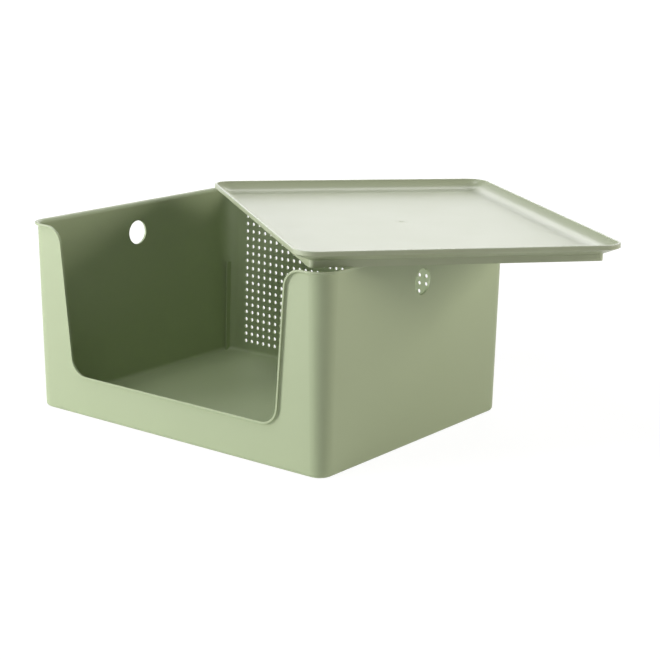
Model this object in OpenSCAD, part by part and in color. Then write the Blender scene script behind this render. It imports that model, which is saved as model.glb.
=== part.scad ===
// Storage bin for potatoes: an open-fronted tub with a perforated back, and its loose lid.
// Millimetres, +Z up. The origin is the centre of the tub's underside, and the mouth faces -Y.
// The lid lies turned across the rim, held up by two points of its skirt and one of its panel.

/* [Bin] */
// Width across the side walls at the rim
bin_w = 442; // [360:1:560]
// Depth from front wall to back wall at the rim
bin_d = 352; // [290:1:440]
// Height of the rim above the table
bin_h = 225; // [190:1:320]
// Thickness of the walls
wall_t = 2.5; // [1.8:0.1:4]
// Thickness of the floor
floor_t = 2.5; // [1.8:0.1:4]
// Lean of every wall away from upright, in degrees
draft = 1.3; // [0.5:0.1:2]
// Outer radius of the upright corners at the rim
corner_r = 22; // [18:0.5:36]
// Outer radius where the walls meet the underside
base_r = 5; // [2:0.5:8]
// Inner radius where the walls meet the floor
floor_r = 5; // [2:0.5:8]

/* [Rolled lip] */
// How far the lip stands out from the walls
lip_out = 3.2; // [3.1:0.1:5]
// Radius of the hollow under the lip
lip_r = 2.6; // [1.4:0.1:3]
// Rounding of the lip's outer edges
lip_edge_r = 0.5; // [0.2:0.1:0.8]

/* [Front mouth] */
// Height of the mouth's sill above the table
sill_h = 50.5; // [30:0.5:80]
// Width of the mouth at the sill
mouth_low_w = 307; // [240:1:340]
// Width of the mouth at the rim
mouth_top_w = 338; // [300:1:350]
// Radius of the mouth's lower corners
mouth_low_r = 21; // [12:1:36]
// Radius of the shoulders where the mouth meets the rim
mouth_top_r = 23; // [14:1:32]

/* [Vents in the back wall] */
// Diameter of one vent
vent_d = 5; // [3:0.1:7]
// Distance from one vent to the next
vent_pitch = 10; // [9:0.5:14]
// Height of the lowest row above the table
vent_first_h = 18.2; // [18:0.1:30]
// How far the whole grid of vents stands to the right of the back wall's middle
vent_shift = 1.4; // [0:0.1:3]
// Least distance from the outer rows of vents to the lip, and to the upright corners
vent_margin = 14; // [13:0.5:30]

/* [Hand holes in the side walls] */
// Diameter of a hand hole
hand_d = 30; // [20:1:40]
// Distance from the rim down to the middle of a hand hole
hand_drop = 38; // [32:1:50]

/* [Nesting ribs in the corners] */
// Height of the ribs above the table
rib_h = 124; // [60:1:150]
// Thickness of a rib
rib_t = 2; // [1.2:0.1:3]
// Distance from the outer face of a side wall to the middle of its ribs
rib_in = 11; // [9:0.5:13]
// Depth of a rib, from the outer face of the wall behind it to its free edge
rib_reach = 13; // [11:0.5:18]

/* [Lid] */
// How far the lid stands out past the lip on every side
lid_over = 3.3; // [2:0.1:8]
// Outer radius of the lid's corners
lid_corner_r = 24; // [23.5:0.5:30]
// Height of the upright band at the lid's edge
edge_h = 4.9; // [4:0.1:6]
// Height of the slope under the edge, from the band to the skirt
slope_h = 8.1; // [7:0.1:9]
// Height of the skirt below the slope
skirt_h = 7.6; // [6:0.1:12]
// Thickness of the skirt
skirt_t = 2.5; // [1.6:0.1:3]
// Distance in from the lid's edge to the skirt
skirt_in = 18.3; // [17:0.1:19]
// Width of the bead round the top of the lid
bead_w = 3; // [2.4:0.1:3.2]
// Rounding of the bead
bead_r = 1; // [0.5:0.1:1.2]
// Depth of the tray's flat panel below the bead
panel_depth = 13.5; // [12.5:0.1:14.5]
// Thickness of the flat panel
panel_t = 2.7; // [1.8:0.1:3.5]

/* [Lid at rest] */
// Turn of the lid on the bin, in degrees
lid_yaw = -37.1; // [-42:0.1:-32]
// Middle of the lid, to the right of the middle of the bin
lid_x = 128; // [120:1:136]
// Middle of the lid, behind the middle of the bin
lid_y = 87; // [80:1:94]
// Clearance left between the lid and what it lies on
rest_gap = 0.5; // [0.1:0.1:0.8]

/* [Hidden] */
$fn = 64;
// Sides that one quarter turn gets in a profile drawn as a polygon
arc_n = 6;
// Extra length of a cutter past the face that it cuts
cut = 1;
// Depth by which one solid reaches into another that it is joined to
join = 0.4;
// Step down from one length of lip to the next, so that no two of their faces coincide
lip_step = 0.02;
// Angle by which a curved length of lip runs on into the length that it meets
lip_turn = 1;

// Height of the walls measured along their lean
wall_len = bin_h / cos(draft);
// How far a wall moves out between the table and the rim
lean_out = bin_h * tan(draft);
// Width of the band of wall that the rolled lip takes up
lip_band = wall_t + lip_r;
// Outer radius of the upright corners at table height
foot_r = corner_r - lean_out;

// Lean of the mouth's sides, and its outline along the front wall
sill_s = sill_h / cos(draft);
mouth_lean = atan((mouth_top_w - mouth_low_w) / 2 / (wall_len - sill_s));
low_c = [mouth_side_x(sill_s + mouth_low_r) - mouth_low_r / cos(mouth_lean), sill_s + mouth_low_r];
top_c = [mouth_side_x(wall_len - mouth_top_r) + mouth_top_r / cos(mouth_lean), wall_len - mouth_top_r];
side_run = norm(top_c - low_c - (mouth_top_r + mouth_low_r) * polar(-mouth_lean));

// Vents: as many columns and rows as fit in the flat of the back wall
flat_half_w = bin_w / 2 - corner_r;
vent_cols = 2 * floor((flat_half_w - vent_margin + vent_pitch / 2) / vent_pitch);
vent_rows = 1 + floor((wall_len - lip_band - vent_margin - vent_first_h) / vent_pitch);
// Edge of the perforated panel past the outer vents
panel_edge = vent_d / 2 + 4;
vent_panel_w = (vent_cols - 1) * vent_pitch + 2 * panel_edge;
vent_panel_h = (vent_rows - 1) * vent_pitch + 2 * panel_edge;
vent_panel_s = vent_first_h - panel_edge;

// Lid, measured upwards from the skirt's lower edge
lid_w = bin_w + 2 * (lip_out + lid_over);
lid_d = bin_d + 2 * (lip_out + lid_over);
skirt_w = lid_w - 2 * skirt_in;
lid_h = edge_h + slope_h + skirt_h;
panel_z = lid_h - panel_depth;
under_z = panel_z - panel_t;
// Radii from the corner axis where the skirt stands and where the dished tray side begins
skirt_at = lid_corner_r - skirt_in;
dish_at = lid_corner_r - bead_w;
// Drop from the bead's top to the start of the tray side, and how sharply that side levels out
dish_drop = 1.5;
dish_power = 1.25;
// Sides of the tray's curved side in its profile
dish_n = 8;

// The three points that carry the lid, in its own turned axes, and the plane through them
side_pt = [skirt_w / 2, (lid_x + skirt_w / 2 * cos(lid_yaw) - bin_w / 2) / sin(lid_yaw)];
back_pt = [-skirt_w / 2, (bin_d / 2 - lid_y + skirt_w / 2 * sin(lid_yaw)) / cos(lid_yaw)];
corner_pt = turned([flat_half_w - lid_x, bin_d / 2 - corner_r - lid_y], -lid_yaw) + [0, corner_r + lip_out];
step_pt = back_pt - side_pt;
far_pt = corner_pt - side_pt;
slope_y = -under_z / (far_pt.y - far_pt.x * step_pt.y / step_pt.x);
slope_x = -slope_y * step_pt.y / step_pt.x;
lid_z = bin_h + rest_gap - slope_x * side_pt.x - slope_y * side_pt.y;
lid_pitch = atan(slope_y);
lid_roll = -atan(slope_x);

// Unit vector at an angle
function polar(a) = [cos(a), sin(a)];
// A point turned about the origin
function turned(p, a) = [p.x * cos(a) - p.y * sin(a), p.x * sin(a) + p.y * cos(a)];
// Points of an arc about c, from angle a to angle b
function arc(c, r, a, b) = [for (i = [0:arc_n]) c + r * polar(a + (b - a) * i / arc_n)];
// Half width of the mouth at a distance s up the front wall
function mouth_side_x(s) = mouth_low_w / 2 + (s - sill_s) * tan(mouth_lean);
// A point n out from the wall's outer face and s up it, as radius from the corner axis and height
function on_wall(n, s) = [foot_r + n * cos(draft) + s * sin(draft), s * cos(draft) - n * sin(draft)];
// Distance up the wall at which a circle of radius r, n out from the face, touches the level z
function touching_s(n, r, z) = (z + r + n * sin(draft)) / cos(draft);

// Outer and inner edge of the rolled lip, as [out of the wall, distance from the lip's top],
// drawn in by t all round
function lip_outside(t) = concat(
    arc([lip_r, lip_band], lip_r + t, 180, 270),
    arc([lip_out - lip_edge_r, wall_t - lip_edge_r], lip_edge_r - t, 90, 0),
    arc([lip_out - lip_edge_r, lip_edge_r], lip_edge_r - t, 0, -90)
);
function lip_inside(t) = arc([lip_r, lip_band], lip_band - t, 270, 180);

// Section of a wall with its lip, its foot and a strip of floor, out from the corner axis
module wall_section() {
    foot_c = on_wall(-base_r, touching_s(-base_r, base_r, 0));
    floor_c = on_wall(-wall_t - floor_r, touching_s(-wall_t - floor_r, floor_r, floor_t));
    polygon(concat(
        [[0, 0]],
        arc(foot_c, base_r, -90, -draft),
        [for (p = lip_outside(0)) on_wall(p.x, wall_len - p.y)],
        [for (p = lip_inside(0)) on_wall(p.x, wall_len - p.y)],
        arc(floor_c, floor_r, -draft, -90),
        [[0, floor_t]]
    ));
}

// Carries a section round a rectangle w by d whose corner axes stand r in from its sides
module swept_round(w, d, r) {
    for (k = [0:3]) {
        across = k % 2 == 0 ? w : d;
        along = k % 2 == 0 ? d : w;
        rotate(90 * k) translate([across / 2 - r, along / 2 - r, 0]) {
            rotate_extrude(angle = 90) children();
            rotate([90, 0, 0]) linear_extrude(along - 2 * r) children();
        }
    }
}

// Puts x along a wall, y up its outer face and z out of it; on the back wall x runs to the left
module on_outer_face(foot_span) {
    translate([0, -foot_span / 2, 0]) rotate([90 + draft, 0, 0]) children();
}

module on_front() {
    on_outer_face(bin_d - 2 * lean_out) children();
}

module on_back() {
    rotate(180) on_front() children();
}

// Section of the lip: distance into the wall from its edge, at the radius r and on its way side,
// and height out of the wall
module lip_section(r, way, t) {
    points = concat(
        [[lip_band + join, -t]],
        [for (p = lip_outside(t)) [p.y, p.x]],
        [for (p = lip_inside(t)) [p.y, p.x]],
        [[lip_band + join, t - wall_t]]
    );
    polygon([for (p = points) [r + way * p.x, p.y]]);
}

// A straight run of lip between two points, lengthened into what it meets; into is the way to the wall
module lip_run(start, into, run) {
    translate(start) rotate(into) translate([0, join, 0]) rotate([90, 0, 0])
        linear_extrude(run + 2 * join) lip_section(0, 1, 2 * lip_step);
}

// The lip round the mouth, up to where it becomes the lip of the rim
module mouth_lip() {
    side_end = top_c - mouth_top_r * polar(-mouth_lean);
    curve = 90 - mouth_lean + 2 * lip_turn;
    lip_run([low_c.x, sill_s], -90, 2 * low_c.x);
    for (m = [0, 1]) {
        mirror([m, 0, 0]) {
            translate(low_c) rotate(-90 - lip_turn)
                rotate_extrude(angle = curve) lip_section(mouth_low_r, 1, lip_step);
            lip_run(side_end, -mouth_lean, side_run);
            translate(top_c) rotate(90 - lip_turn)
                rotate_extrude(angle = curve) lip_section(mouth_top_r, -1, lip_step);
        }
    }
}

// What the mouth takes out of the front wall: its outline grown by the band of its lip
module mouth_cutter() {
    half = concat(
        [[low_c.x, sill_s - lip_band]],
        arc(low_c, mouth_low_r + lip_band, -90, -mouth_lean),
        arc(top_c, mouth_top_r - lip_band, 180 - mouth_lean, 90),
        [[top_c.x, wall_len + cut]]
    );
    left = [for (i = [len(half) - 1:-1:0]) [-half[i].x, half[i].y]];
    translate([0, 0, -wall_t - cut]) linear_extrude(wall_t + lip_out + 2 * cut) polygon(concat(half, left));
}

// Two round holes for the hands, one through each side wall
module hand_holes() {
    translate([-bin_w / 2 - cut, 0, bin_h - hand_drop]) rotate([0, 90, 0]) cylinder(d = hand_d, h = bin_w + 2 * cut);
}

// Space in the back wall for the perforated panel
module vent_window(grow) {
    translate([-vent_panel_w / 2 - vent_shift, vent_panel_s, -wall_t - grow])
        cube([vent_panel_w, vent_panel_h, wall_t + 2 * grow]);
}

// A rib in each corner, on which the next bin stops when empty bins are stacked
module nesting_ribs() {
    x = bin_w / 2 - rib_in - rib_t / 2;
    // Radius of the middle of the corner's wall at half the height of the rib
    mid_r = corner_r - (bin_h - rib_h / 2) * tan(draft) - wall_t / 2;
    out_x = x + rib_t / 2 - flat_half_w;
    root = wall_t / 2 + mid_r - sqrt(mid_r * mid_r - out_x * out_x);
    for (turn = [0, 180], m = [0, 1]) {
        rotate(turn) mirror([m, 0, 0]) on_front()
            translate([x, floor_t / 2, -rib_reach]) cube([rib_t, rib_h - floor_t / 2, rib_reach - root]);
    }
}

module tub() {
    color([0.66, 0.71, 0.56]) {
        difference() {
            union() {
                swept_round(bin_w, bin_d, corner_r) wall_section();
                translate([-flat_half_w, corner_r - bin_d / 2, 0])
                    cube([2 * flat_half_w, bin_d - 2 * corner_r, floor_t]);
            }
            on_front() mouth_cutter();
            on_back() vent_window(cut);
            hand_holes();
        }
        on_front() mouth_lip();
        nesting_ribs();
    }
}

module vent_panel() {
    color([0.60, 0.66, 0.50]) on_back() difference() {
        vent_window(0);
        for (i = [0:vent_cols - 1], j = [0:vent_rows - 1]) {
            x = (i - (vent_cols - 1) / 2) * vent_pitch - vent_shift;
            translate([x, vent_first_h + j * vent_pitch, -wall_t - cut]) cylinder(d = vent_d, h = wall_t + 2 * cut);
        }
    }
}

// Height of the tray at a distance r from the corner axis: flat in the middle, steeper to the bead
function dish(r) = panel_z + (panel_depth - dish_drop) * pow(r / dish_at, dish_power);

// Section of the lid's edge: skirt, slope, upright band, bead, and the dished side of the tray
module lid_section() {
    polygon(concat(
        [[0, under_z], [skirt_at - skirt_t, under_z], [skirt_at - skirt_t, 0], [skirt_at, 0]],
        [[skirt_at, skirt_h], [lid_corner_r, skirt_h + slope_h]],
        arc([lid_corner_r - bead_r, lid_h - bead_r], bead_r, 0, 90),
        arc([dish_at + bead_r, lid_h - bead_r], bead_r, 90, 180),
        [for (i = [dish_n:-1:0]) [dish_at * i / dish_n, dish(dish_at * i / dish_n)]]
    ));
}

module lid_shell() {
    inner_w = lid_w - 2 * lid_corner_r;
    inner_d = lid_d - 2 * lid_corner_r;
    swept_round(lid_w, lid_d, lid_corner_r) lid_section();
    translate([-inner_w / 2, -inner_d / 2, under_z]) cube([inner_w, inner_d, panel_t]);
}

module lid() {
    color([0.80, 0.83, 0.72])
        translate([lid_x, lid_y, lid_z]) rotate(lid_yaw) rotate([lid_pitch, lid_roll, 0]) lid_shell();
}

tub();
vent_panel();
lid();
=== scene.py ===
"""Looks, light and camera for an open-fronted vegetable storage bin and its loose tray lid.

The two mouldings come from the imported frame. This script dresses them as moulded sage plastic,
adds the gate marks that the mould leaves, and sets up a white studio with the photograph's camera.
"""

from __future__ import annotations

import logging
import math
from dataclasses import dataclass
from enum import Enum
from typing import Any, Sequence, Union

import bpy
import numpy as np
from mathutils import Euler, Matrix, Vector


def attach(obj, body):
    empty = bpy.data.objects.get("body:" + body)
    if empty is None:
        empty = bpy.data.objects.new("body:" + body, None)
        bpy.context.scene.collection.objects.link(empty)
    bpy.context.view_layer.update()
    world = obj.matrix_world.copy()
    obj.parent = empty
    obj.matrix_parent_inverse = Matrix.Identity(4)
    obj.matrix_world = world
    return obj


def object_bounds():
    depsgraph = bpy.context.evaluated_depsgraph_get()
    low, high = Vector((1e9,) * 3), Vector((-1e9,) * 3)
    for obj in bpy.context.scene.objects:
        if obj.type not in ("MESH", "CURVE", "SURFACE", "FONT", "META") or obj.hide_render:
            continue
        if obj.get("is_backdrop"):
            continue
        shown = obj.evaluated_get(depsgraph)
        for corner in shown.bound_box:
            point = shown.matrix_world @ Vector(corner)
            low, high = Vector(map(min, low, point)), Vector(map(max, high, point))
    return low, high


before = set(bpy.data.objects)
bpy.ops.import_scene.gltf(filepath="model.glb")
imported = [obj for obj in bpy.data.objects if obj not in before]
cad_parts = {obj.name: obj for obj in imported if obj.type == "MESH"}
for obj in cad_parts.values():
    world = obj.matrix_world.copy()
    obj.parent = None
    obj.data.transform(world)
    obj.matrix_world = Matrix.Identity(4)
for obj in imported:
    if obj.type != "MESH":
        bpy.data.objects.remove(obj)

LOG = logging.getLogger("bin_scene")
MM = 0.001
WHITE = (1.0, 1.0, 1.0, 1.0)
Colour = tuple[float, float, float]
Value = Union["Signal", float, Sequence[float]]


class Part(Enum):
    """The mouldings and regions that get a finish, by the name of their CAD node."""

    TUB = "tub"
    VENTS = "vent_panel"
    LID = "lid"


class Body(Enum):
    """The CAD body that the scene's own piece rides on."""

    LID = "lid"


class Slot(Enum):
    """A name for the record's material slot of the scene's own piece; nothing in this script gives
    the piece this slot.
    """

    LID = "lid_plastic"


# Shader graphs


@dataclass(frozen=True)
class Signal:
    """A shader socket that turns Python operators into Math nodes."""

    graph: "Graph"
    socket: bpy.types.NodeSocket

    def math(self, operation: str, *others: Value) -> "Signal":
        """Applies one Math operation to this signal.

        Args:
            operation: name of the Math node's operation.
            others: the operation's remaining inputs, as signals or numbers.

        Returns:
            The node's result.
        """
        return self.graph.math(operation, self, *others)

    def __add__(self, other: Value) -> "Signal":
        """This plus other."""
        return self.math("ADD", other)

    def __radd__(self, other: Value) -> "Signal":
        """Other plus this."""
        return self.math("ADD", other)

    def __sub__(self, other: Value) -> "Signal":
        """This minus other."""
        return self.math("SUBTRACT", other)

    def __mul__(self, other: Value) -> "Signal":
        """This times other."""
        return self.math("MULTIPLY", other)

    def __rmul__(self, other: Value) -> "Signal":
        """Other times this."""
        return self.math("MULTIPLY", other)

    def __abs__(self) -> "Signal":
        """Distance of this from zero."""
        return self.math("ABSOLUTE")

    def fade(self, low: float, high: float) -> "Signal":
        """Smooth step of this signal: 0 at low, 1 at high, with a level start and end.

        Args:
            low: the value that gives 0.
            high: the value that gives 1.

        Returns:
            The step as a signal from 0 to 1.
        """
        node = self.graph.node(
            "ShaderNodeMapRange",
            {"interpolation_type": "SMOOTHSTEP"},
            {"Value": self, "From Min": low, "From Max": high, "To Min": 0.0, "To Max": 1.0},
        )
        return self.graph.out(node, "Result")


class Graph:
    """The node tree of one material or world, with one method that adds any node."""

    def __init__(self, tree: bpy.types.NodeTree) -> None:
        """Empties the tree and keeps it.

        Args:
            tree: the node tree to write into.
        """
        self.tree = tree
        tree.nodes.clear()

    def node(self, kind: str, settings: dict[str, Any], inputs: dict[Any, Value]) -> bpy.types.Node:
        """Adds a node.

        Args:
            kind: Blender's name for the type of node.
            settings: the node's own properties, set first.
            inputs: socket name, identifier or number to a value or to a signal that feeds it.

        Returns:
            The node.
        """
        node = self.tree.nodes.new(kind)
        for name, value in settings.items():
            setattr(node, name, value)
        for key, value in inputs.items():
            socket = self._socket(node.inputs, key)
            if isinstance(value, Signal):
                self.tree.links.new(value.socket, socket)
            else:
                socket.default_value = value
        return node

    @staticmethod
    def _socket(sockets: Any, key: Any) -> bpy.types.NodeSocket:
        """Finds a socket by number, by identifier or by name."""
        if isinstance(key, int):
            return sockets[key]
        return next((s for s in sockets if s.identifier == key), None) or sockets[key]

    def out(self, node: bpy.types.Node, key: Any = 0) -> Signal:
        """One output of a node as a signal."""
        return Signal(self, self._socket(node.outputs, key))

    def math(self, operation: str, *values: Value) -> Signal:
        """One Math node's result for these values."""
        node = self.node("ShaderNodeMath", {"operation": operation}, dict(enumerate(values)))
        return self.out(node)

    def blend(self, share: Value, first: Value, second: Value) -> Signal:
        """Mixes two colours.

        Args:
            share: how much of the second colour shows, from 0 to 1.
            first: the first colour.
            second: the second colour.

        Returns:
            The mixed colour.
        """
        rgba = [c if isinstance(c, Signal) else (*c, 1.0) for c in (first, second)]
        inputs = {"Factor_Float": share, "A_Color": rgba[0], "B_Color": rgba[1]}
        node = self.node("ShaderNodeMix", {"data_type": "RGBA"}, inputs)
        return self.out(node, "Result_Color")


@dataclass(frozen=True)
class Pattern:
    """A fractal noise over a moulding.

    The scale is in cycles to the metre, detail is how many finer layers are added, and roughness is
    how strong they are. The band holds the values that the patches' edges lie between.
    """

    scale: float
    detail: float
    roughness: float
    band: tuple[float, float] = (0.0, 1.0)

    def noise(self, graph: Graph, at: Signal) -> Signal:
        """The noise at a point.

        Args:
            graph: the material's graph.
            at: the point to read, in metres.

        Returns:
            The noise, about 0.5 on average.
        """
        inputs = {
            "Vector": at,
            "Scale": self.scale,
            "Detail": self.detail,
            "Roughness": self.roughness,
        }
        return graph.out(graph.node("ShaderNodeTexNoise", {}, inputs), "Fac")

    def patches(self, graph: Graph, at: Signal) -> Signal:
        """The noise as patches with soft edges.

        Args:
            graph: the material's graph.
            at: the point to read, in metres.

        Returns:
            A smooth step of the noise across the band, from 0 to 1.
        """
        return self.noise(graph, at).fade(*self.band)


@dataclass(frozen=True)
class Place:
    """A turned and moved set of axes in the row frame."""

    location: tuple[float, float, float] = (0.0, 0.0, 0.0)
    rotation: tuple[float, float, float] = (0.0, 0.0, 0.0)

    def matrix(self) -> Matrix:
        """The place as a matrix from its own axes to the row frame."""
        return Matrix.LocRotScale(Vector(self.location), Euler(self.rotation, "XYZ"), None)


@dataclass(frozen=True)
class Dish:
    """The tray's curved side, and how much softer it levels out than its mesh does.

    The side starts at an inner rectangle with the given half size and rises over its width. The
    mesh follows rise * t ** mesh_power, where t is the distance out from that rectangle over the
    width, in equal steps, the first of them a straight ramp. Faces look up where their normal's
    height is past the facing band.
    """

    half_size: tuple[float, float]
    width: float
    rise_mm: float = 12.0
    mesh_power: float = 1.25
    soft_power: float = 2.6
    mesh_steps: int = 8
    facing: tuple[float, float] = (0.0, 0.2)

    def height(self, graph: Graph, x: Signal, y: Signal) -> Signal:
        """Height in millimetres from the mesh's side to the softer one, on faces that look up.

        Args:
            graph: the material's graph.
            x: the point's first coordinate in the tray's own axes.
            y: its second coordinate.

        Returns:
            rise * (t ** soft_power - mesh), and 0 on faces that look down.
        """
        out_x = (abs(x) - self.half_size[0]).math("MAXIMUM", 0.0)
        out_y = (abs(y) - self.half_size[1]).math("MAXIMUM", 0.0)
        out = (out_x * out_x + out_y * out_y).math("SQRT")
        t = (out * (1.0 / self.width)).math("MINIMUM", 1.0)
        first_step = t * self.mesh_steps ** (1.0 - self.mesh_power)
        mesh = t.math("POWER", self.mesh_power).math("MAXIMUM", first_step)
        softer = t.math("POWER", self.soft_power) - mesh
        texture = graph.node("ShaderNodeTexCoord", {}, {})
        normal = graph.node("ShaderNodeSeparateXYZ", {}, {"Vector": graph.out(texture, "Normal")})
        return softer * self.rise_mm * graph.out(normal, 2).fade(*self.facing)


@dataclass(frozen=True)
class MouldedPlastic:
    """Finish of an injection-moulded sage polypropylene surface.

    The colour drifts slowly across the wall, as pigment does in the flow from the gate. The skin
    has a fine eroded grain, and the edges that hands and shelves touch are burnished smoother and
    lighter. The corners are burnished within corner_band of the moulding's half size. The rim is
    lightened across the heights of its rim band, partly as burnish and partly as a painted
    highlight. The gate leaves a low ring round the moulding's middle, and its two
    bands are distances from there, times gate_scale.
    """

    name: str
    colour: Colour
    shade: Colour
    # lighter colour: burnish on the corners, burnish plus a painted highlight on the rim band
    burnish_and_highlight: Colour
    roughness: float
    half_size: tuple[float, float]
    rim_wear_and_highlight_band: tuple[float, float]
    burnish_and_highlight_share: float = 0.5
    pigment: Pattern = Pattern(5.0, 2.0, 0.45, (0.3, 0.7))
    pigment_share: float = 0.35
    fleck: Pattern = Pattern(620.0, 1.0, 0.5, (0.55, 0.8))
    fleck_share: float = 0.10
    touch: Pattern = Pattern(38.0, 3.0, 0.6, (0.35, 0.7))
    least_wear: float = 0.35
    corner_wear: float = 0.35
    corner_band: float = 16 * MM
    smear: Pattern = Pattern(14.0, 4.0, 0.55)
    smear_depth: float = 0.10
    wear_polish: float = 0.08
    grain: Pattern = Pattern(1.0 / (0.55 * MM), 1.0, 0.5)
    grain_depth_mm: float = 0.02
    ripple: Pattern = Pattern(9.0, 1.0, 0.4)
    ripple_depth_mm: float = 0.08
    gate_dimple: tuple[float, float] = (1.2 * MM, 2.2 * MM)
    gate_ring: tuple[float, float] = (2.6 * MM, 4.0 * MM)
    gate_depth_mm: float = 0.12
    gate_scale: float = 1.0
    refraction: float = 1.49
    place: Place = Place()
    dish: Dish | None = None

    def build(self) -> bpy.types.Material:
        """Makes the material.

        Returns:
            A material whose base colour, roughness and normal vary over the surface.
        """
        material = bpy.data.materials.new(self.name)
        material.use_nodes = True
        graph = Graph(material.node_tree)
        point = self._point(graph)
        x, y, z = self._split(graph, point)
        wear_and_highlight = self._edge_wear_and_highlight(graph, point, x, y, z)
        height = self._height(graph, point, x, y)
        bump = graph.node(
            "ShaderNodeBump", {}, {"Strength": 1.0, "Distance": MM, "Height": height}
        )
        shader = graph.node(
            "ShaderNodeBsdfPrincipled",
            {},
            {
                "Base Color": self._base_colour(graph, point, wear_and_highlight),
                "Roughness": self._roughness(graph, point, wear_and_highlight),
                "Normal": graph.out(bump),
                "IOR": self.refraction,
            },
        )
        graph.node("ShaderNodeOutputMaterial", {}, {"Surface": graph.out(shader)})
        material.diffuse_color = (*self.colour, 1.0)
        return material

    def _point(self, graph: Graph) -> Signal:
        """The surface point in the moulding's own axes, in metres."""
        texture = graph.node("ShaderNodeTexCoord", {}, {})
        inputs = {
            "Vector": graph.out(texture, "Object"),
            "Location": self.place.location,
            "Rotation": self.place.rotation,
        }
        return graph.out(graph.node("ShaderNodeMapping", {"vector_type": "TEXTURE"}, inputs))

    @staticmethod
    def _split(graph: Graph, point: Signal) -> tuple[Signal, Signal, Signal]:
        """The three coordinates of a point."""
        node = graph.node("ShaderNodeSeparateXYZ", {}, {"Vector": point})
        return graph.out(node, 0), graph.out(node, 1), graph.out(node, 2)

    def _edge_wear_and_highlight(
        self, graph: Graph, point: Signal, x: Signal, y: Signal, z: Signal
    ) -> Signal:
        """How lightened a point is: burnish on the upright corners, burnish plus a painted
        highlight on the rim, broken up by patches.

        The rim is a smooth step in height across rim_wear_and_highlight_band, and the upright
        corners are a smooth step in min(|x| - a, |y| - b), which peaks where two walls meet.
        """
        # rim band mask: burnish plus a painted highlight where the rim catches the light
        rim = z.fade(*self.rim_wear_and_highlight_band)
        beside = (abs(x) - self.half_size[0]).math("MINIMUM", abs(y) - self.half_size[1])
        corner = beside.fade(-self.corner_band, 0.0) * self.corner_wear
        touched = (1.0 - self.least_wear) * self.touch.patches(graph, point)
        return rim.math("MAXIMUM", corner) * (self.least_wear + touched)

    def _base_colour(self, graph: Graph, point: Signal, wear_and_highlight: Signal) -> Signal:
        """Colour: slow pigment drift, a faint fine fleck, lighter burnished corners, and a rim
        lightened as burnish and painted highlight.
        """
        pigment = self.pigment.patches(graph, point) * self.pigment_share
        fleck = self.fleck.patches(graph, point) * self.fleck_share
        body = graph.blend(pigment + fleck, self.colour, self.shade)
        # blends in the lighter colour: burnish on the corners, burnish plus a painted highlight on
        # the rim
        return graph.blend(wear_and_highlight * self.burnish_and_highlight_share, body, self.burnish_and_highlight)

    def _roughness(self, graph: Graph, point: Signal, wear_and_highlight: Signal) -> Signal:
        """Roughness: the finish's own, with broad smears and smoother burnished edges."""
        smear = self.smear.noise(graph, point) - 0.5
        return self.roughness + smear * self.smear_depth - wear_and_highlight * self.wear_polish

    def _height(self, graph: Graph, point: Signal, x: Signal, y: Signal) -> Signal:
        """Height in millimetres: grain, faint sink ripples, the gate's ring and the dish.

        The ring is a smooth hump in the distance from the moulding's middle. It rises out of the
        dimple's band and falls across the ring's.
        """
        grain = self.grain.noise(graph, point) * self.grain_depth_mm
        ripple = self.ripple.noise(graph, point) * self.ripple_depth_mm
        radius = (x * x + y * y).math("SQRT") * (1.0 / self.gate_scale)
        hump = radius.fade(*self.gate_dimple) - radius.fade(*self.gate_ring)
        height = grain + ripple + hump * self.gate_depth_mm
        return height + self.dish.height(graph, x, y) if self.dish else height


# Geometry helpers


def grid_mesh(name: str, points: np.ndarray, close_around: bool = True) -> bpy.types.Mesh:
    """Makes a mesh from a grid of points.

    Quad (i, j) joins points (i, j), (i, j+1), (i+1, j+1) and (i+1, j), and the last column
    joins the first where the grid closes round.

    Args:
        name: the mesh's name.
        points: array of shape (rows, columns, 3), in metres.
        close_around: whether the last column joins the first.

    Returns:
        The mesh.
    """
    rows, columns = points.shape[:2]
    quad_columns = columns if close_around else columns - 1
    i, j = np.meshgrid(np.arange(rows - 1), np.arange(quad_columns), indexing="ij")
    row, next_row = i * columns, (i + 1) * columns
    after = (j + 1) % columns
    quads = np.stack([row + j, row + after, next_row + after, next_row + j], -1)
    mesh = bpy.data.meshes.new(name)
    mesh.from_pydata(points.reshape(-1, 3), [], quads.reshape(-1, 4))
    mesh.polygons.foreach_set("use_smooth", np.ones(len(mesh.polygons), bool))
    return mesh


def link(mesh: bpy.types.Mesh) -> bpy.types.Object:
    """Adds a mesh to the scene as an object of the same name at the origin."""
    piece = bpy.data.objects.new(mesh.name, mesh)
    bpy.context.scene.collection.objects.link(piece)
    return piece


def dress_node(part: Part, material: bpy.types.Material) -> None:
    """Gives a CAD node its finish.

    Args:
        part: the node.
        material: the finish.
    """
    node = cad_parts[part.value]
    if not node.material_slots:
        node.data.materials.append(material)
    for slot in node.material_slots:
        slot.material = material
    LOG.info("dressed %s with %s", part.value, material.name)


# The object's sub-assemblies


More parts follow.
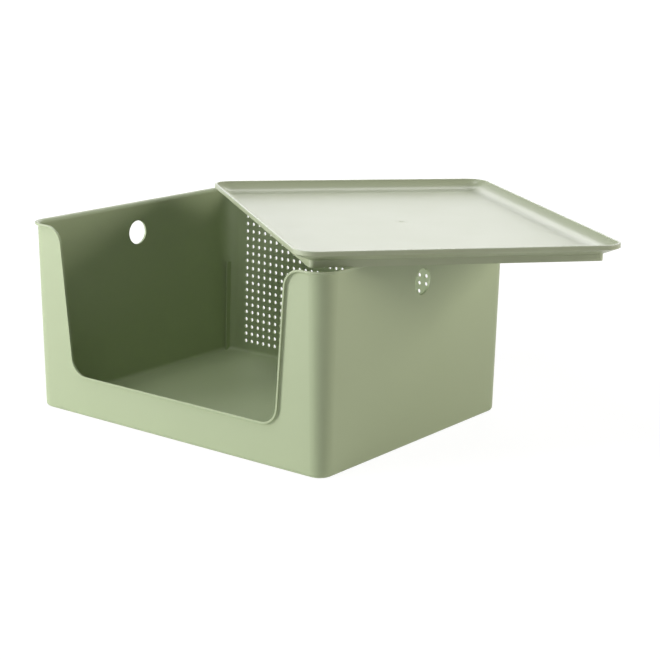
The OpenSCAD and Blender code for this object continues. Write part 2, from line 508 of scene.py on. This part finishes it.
@dataclass
class Bin:
    """The tub with its perforated back.

    The rim is lightened as burnish and painted highlight between the two rim heights below its top.
    """

    width: float = 442 * MM
    depth: float = 352 * MM
    height: float = 225 * MM
    lip_out: float = 3.2 * MM
    corner_radius: float = 22 * MM
    colour: Colour = (0.430, 0.502, 0.312)
    shade: Colour = (0.410, 0.482, 0.294)
    # lighter colour: burnish on the corners, burnish plus a painted highlight on the rim
    burnish_and_highlight: Colour = (0.52, 0.58, 0.40)
    roughness: float = 0.46
    rim_wear_and_highlight_from: float = 4 * MM
    rim_wear_and_highlight_to: float = 0.5 * MM

    def finish(self) -> MouldedPlastic:
        """The bin's plastic."""
        return MouldedPlastic(
            name="sage_bin_plastic",
            colour=self.colour,
            shade=self.shade,
            burnish_and_highlight=self.burnish_and_highlight,
            roughness=self.roughness,
            half_size=(self.width / 2, self.depth / 2),
            rim_wear_and_highlight_band=(self.height - self.rim_wear_and_highlight_from, self.height - self.rim_wear_and_highlight_to),
        )

    def build(self) -> None:
        """Dresses the tub and its perforated region in one plastic, as one moulding."""
        material = self.finish().build()
        dress_node(Part.TUB, material)
        dress_node(Part.VENTS, material)


@dataclass
class Lid:
    """The tray lid, lying turned across the bin's rim.

    The edge near its top is lightened between the two rim heights below its top, as a painted
    highlight on the bead with some burnish. The nub's profile starts nub_sunk radians below the
    tray, and is clipped at nub_clip of its height. Its last ring keeps the radius nub_tip, so that
    no two of its points are the same.
    """

    bin: Bin
    overhang: float = 3.3 * MM
    skirt_in: float = 18.3 * MM
    height: float = 20.6 * MM
    panel_depth: float = 13.5 * MM
    panel_thickness: float = 2.7 * MM
    x: float = 128 * MM
    y: float = 87 * MM
    yaw: float = math.radians(-37.1)
    rest_gap: float = 0.5 * MM
    corner_radius: float = 24 * MM
    side_width: float = 21 * MM
    # the bin's plastic, painted a little lighter than the bin's as a painted sheen of the tray's
    # top
    colour: Colour = (0.460, 0.510, 0.346)
    shade: Colour = (0.441, 0.492, 0.329)
    # pale colour, mixed in strongly on the bead's top as a painted highlight with some burnish
    burnish_and_highlight: Colour = (0.62, 0.67, 0.53)
    burnish_and_highlight_share: float = 0.9
    roughness: float = 0.31
    rim_wear_and_highlight_from: float = 1.6 * MM
    rim_wear_and_highlight_to: float = 0.2 * MM
    gate_depth_mm: float = 0.4
    gate_scale: float = 2.0
    nub_radius: float = 2.6 * MM
    nub_height: float = 0.5 * MM
    nub_sunk: float = 0.35
    nub_clip: float = 0.86
    nub_tip: float = 0.001 * MM
    nub_rows: int = 14
    nub_sides: int = 40

    @property
    def width(self) -> float:
        """Full width of the lid."""
        return self.bin.width + 2 * (self.bin.lip_out + self.overhang)

    @property
    def depth(self) -> float:
        """Full depth of the lid."""
        return self.bin.depth + 2 * (self.bin.lip_out + self.overhang)

    def place(self) -> Place:
        """The lid's own axes, from the middle of its skirt's lower edge.

        Two points of the skirt stand on the rim and one of the panel leans on the bin's corner.
        The plane through the three gives the tilt, as height = slope_x * x + slope_y * y in turned
        axes.

        Returns:
            The place of those axes in the row frame.
        """
        half_skirt = self.width / 2 - self.skirt_in
        half_width, half_depth = self.bin.width / 2, self.bin.depth / 2
        cos_yaw, sin_yaw = math.cos(self.yaw), math.sin(self.yaw)
        turn = np.array([[cos_yaw, sin_yaw], [-sin_yaw, cos_yaw]])
        under = self.height - self.panel_depth - self.panel_thickness
        side = np.array([half_skirt, (self.x + half_skirt * cos_yaw - half_width) / sin_yaw])
        back = np.array([-half_skirt, (half_depth - self.y + half_skirt * sin_yaw) / cos_yaw])
        radius = self.bin.corner_radius
        axis = np.array([half_width - radius - self.x, half_depth - radius - self.y])
        corner = turn @ axis + np.array([0.0, radius + self.bin.lip_out])
        step, far = back - side, corner - side
        slope_y = -under / (far[1] - far[0] * step[1] / step[0])
        slope_x = -slope_y * step[1] / step[0]
        z = self.bin.height + self.rest_gap - slope_x * side[0] - slope_y * side[1]
        return Place((self.x, self.y, z), (math.atan(slope_y), -math.atan(slope_x), self.yaw))

    def finish(self, place: Place) -> MouldedPlastic:
        """The lid's plastic.

        Args:
            place: the lid's own axes.

        Returns:
            The finish, with its patterns in those axes.
        """
        half_size = (self.width / 2, self.depth / 2)
        half_panel = (half_size[0] - self.corner_radius, half_size[1] - self.corner_radius)
        return MouldedPlastic(
            name="sage_lid_plastic",
            colour=self.colour,
            shade=self.shade,
            burnish_and_highlight=self.burnish_and_highlight,
            roughness=self.roughness,
            half_size=half_size,
            rim_wear_and_highlight_band=(self.height - self.rim_wear_and_highlight_from, self.height - self.rim_wear_and_highlight_to),
            burnish_and_highlight_share=self.burnish_and_highlight_share,
            gate_depth_mm=self.gate_depth_mm,
            gate_scale=self.gate_scale,
            place=place,
            dish=Dish(half_panel, self.side_width),
        )

    def gate_nub(self, place: Place) -> bpy.types.Object:
        """Builds the clipped gate at the middle of the tray.

        The profile is r = R cos(max(t, 0)) + tip and h = H min(sin(t), clip), a quarter turn of a
        circle squashed to the nub's height, with a flat top and a straight foot sunk in the tray.
        It is turned once round the lid's middle.

        Args:
            place: the lid's own axes.

        Returns:
            The piece.
        """
        t = np.linspace(-self.nub_sunk, 0.5 * math.pi, self.nub_rows)[:, None]
        a = np.linspace(0, 2 * math.pi, self.nub_sides, endpoint=False)[None, :]
        radius = self.nub_radius * np.cos(np.maximum(t, 0)) + self.nub_tip
        floor_z = self.height - self.panel_depth
        height = floor_z + self.nub_height * np.minimum(np.sin(t), self.nub_clip)
        points = np.stack([radius * np.cos(a), radius * np.sin(a), height + 0 * a], -1)
        matrix = np.array(place.matrix())
        world = points @ matrix[:3, :3].T + matrix[:3, 3]
        return link(grid_mesh("lid_gate_nub", world))

    def build(self) -> None:
        """Dresses the lid and adds its gate nub."""
        place = self.place()
        material = self.finish(place).build()
        dress_node(Part.LID, material)
        nub = self.gate_nub(place)
        nub.data.materials.append(material)
        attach(nub, Body.LID.value)
        LOG.info("built %s", nub.name)


# The studio


@dataclass
class Camera:
    """The photograph's camera, fitted to the bin's rim, foot and vents."""

    lens_mm: float = 90.01
    sensor_mm: float = 36.0
    clip: tuple[float, float] = (0.05, 50.0)
    azimuth: float = math.radians(37.981)
    elevation: float = math.radians(12.074)
    roll: float = math.radians(0.594)
    position: tuple[float, float, float] = (1.23059, -1.46629, 0.58144)
    shift: tuple[float, float] = (0.0048, -0.0942)

    def build(self) -> None:
        """Adds the camera and makes it the scene's.

        The camera looks down its own -Z. Its +Z points back at (sin a cos e, -cos a cos e, sin e).
        """
        a, e = self.azimuth, self.elevation
        back = Vector((math.sin(a) * math.cos(e), -math.cos(a) * math.cos(e), math.sin(e)))
        right = Vector((0, 0, 1)).cross(back).normalized()
        up = back.cross(right)
        turned_right = math.cos(self.roll) * right + math.sin(self.roll) * up
        turned_up = math.cos(self.roll) * up - math.sin(self.roll) * right
        data = bpy.data.cameras.new("photo_camera")
        data.sensor_width = self.sensor_mm
        data.lens = self.lens_mm
        data.shift_x, data.shift_y = self.shift
        data.clip_start, data.clip_end = self.clip
        camera = bpy.data.objects.new("photo_camera", data)
        rotation = Matrix((turned_right, turned_up, back)).transposed()
        camera.matrix_world = Matrix.Translation(self.position) @ rotation.to_4x4()
        bpy.context.scene.collection.objects.link(camera)
        bpy.context.scene.camera = camera


@dataclass
class Softbox:
    """A square lamp that looks at the bin."""

    name: str
    direction: tuple[float, float, float]
    distance: float
    size: float
    level: float
    colour: Colour = (1.0, 1.0, 1.0)
    aim_height: float = 0.1

    def build(self) -> None:
        """Adds the lamp.

        A lamp of power P at distance d gives a white surface facing it the brightness
        P / (pi d)^2, so the power is level * (pi d)^2.
        """
        data = bpy.data.lights.new(self.name, "AREA")
        data.shape = "SQUARE"
        data.size = self.size
        data.color = self.colour
        data.energy = self.level * (math.pi * self.distance) ** 2
        lamp = bpy.data.objects.new(self.name, data)
        way = Vector(self.direction).normalized()
        lamp.location = way * self.distance + Vector((0, 0, self.aim_height))
        lamp.rotation_euler = way.to_track_quat("Z", "Y").to_euler()
        bpy.context.scene.collection.objects.link(lamp)


@dataclass
class Studio:
    """White floor, plain world light and softboxes.

    The floor is lifted by floor_seen of the way near the bin, and all the way past the second of
    the distances in floor_reach.
    """

    floor_half: float = 12.0
    floor_drop: float = 0.4 * MM
    floor_reach: tuple[float, float] = (0.5, 1.8)
    floor_white: float = 0.94
    floor_seen: float = 0.80
    floor_glow: float = 1.16
    world_light: float = 0.01
    lamps: tuple[Softbox, ...] = (
        Softbox("front_softbox", (-0.57, -0.80, 0.15), 2.6, 1.2, 0.86),
        Softbox("high_softbox", (-0.14, -0.40, 0.90), 2.6, 1.2, 0.35),
        Softbox("right_softbox", (0.80, 0.42, 0.30), 2.6, 1.0, 0.40, (1.0, 0.95, 0.87)),
        Softbox("back_softbox", (-0.52, 0.81, 0.26), 2.6, 1.9, 0.145),
        Softbox("back_high_softbox", (-0.40, 0.68, 0.60), 2.6, 1.2, 0.17),
    )

    @staticmethod
    def _seen(graph: Graph) -> Signal:
        """1 for rays that show the backdrop: from the camera, a gloss or a clear surface."""
        path = graph.node("ShaderNodeLightPath", {}, {})
        camera = graph.out(path, "Is Camera Ray")
        gloss = graph.out(path, "Is Glossy Ray")
        clear = graph.out(path, "Is Transmission Ray")
        return camera.math("MAXIMUM", gloss).math("MAXIMUM", clear)

    def floor(self) -> None:
        """Adds the floor, a diffuse white that is lifted to the backdrop's white where it is seen.

        The lift grows with the distance from the bin, so that the bin's shadow stays on the floor
        near it and the far floor is an even white.
        """
        corners = np.array([[[-1, -1], [1, -1]], [[-1, 1], [1, 1]]], float) * self.floor_half
        height = np.full((2, 2, 1), -self.floor_drop)
        points = np.concatenate([corners, height], -1)[::-1]
        floor = link(grid_mesh("floor", points, close_around=False))
        material = bpy.data.materials.new("white_floor")
        material.use_nodes = True
        graph = Graph(material.node_tree)
        white = (self.floor_white,) * 3
        paint = graph.node("ShaderNodeBsdfDiffuse", {}, {"Color": (*white, 1.0)})
        glow = graph.node(
            "ShaderNodeEmission", {}, {"Color": WHITE, "Strength": self.floor_glow}
        )
        texture = graph.node("ShaderNodeTexCoord", {}, {})
        reach = graph.node(
            "ShaderNodeVectorMath", {"operation": "LENGTH"}, {0: graph.out(texture, "Object")}
        )
        far = graph.out(reach, "Value").fade(*self.floor_reach)
        share = self._seen(graph) * (self.floor_seen + far * (1.0 - self.floor_seen))
        mixed = graph.node(
            "ShaderNodeMixShader", {}, {0: share, 1: graph.out(paint), 2: graph.out(glow)}
        )
        graph.node("ShaderNodeOutputMaterial", {}, {"Surface": graph.out(mixed)})
        floor.data.materials.append(material)
        floor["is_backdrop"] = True

    def world(self) -> None:
        """Sets a plain white world: full white where it is seen, world_light where it lights."""
        world = bpy.data.worlds.new("white_world")
        world.use_nodes = True
        bpy.context.scene.world = world
        graph = Graph(world.node_tree)
        strength = self.world_light + self._seen(graph) * (1.0 - self.world_light)
        sky = graph.node("ShaderNodeBackground", {}, {"Color": WHITE, "Strength": strength})
        graph.node("ShaderNodeOutputWorld", {}, {"Surface": graph.out(sky)})

    def build(self) -> None:
        """Adds the world, the floor and the lamps."""
        self.world()
        self.floor()
        for lamp in self.lamps:
            lamp.build()
            LOG.info("lit %s", lamp.name)
        bpy.context.scene.view_settings.view_transform = "Standard"


def bounds_list() -> list[list[float]]:
    """The object's box as plain numbers."""
    return [[float(v) for v in corner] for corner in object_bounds()]


def main(cad_box: list[list[float]]) -> None:
    """Builds the scene in order.

    Args:
        cad_box: the CAD model's box, from straight after the frame was loaded. Not used.
    """
    logging.basicConfig(level=logging.INFO, format="%(name)s: %(message)s")
    Camera().build()
    Studio().build()
    storage_bin = Bin()
    storage_bin.build()
    Lid(storage_bin).build()


if __name__ == "__main__":
    main(bounds_list())
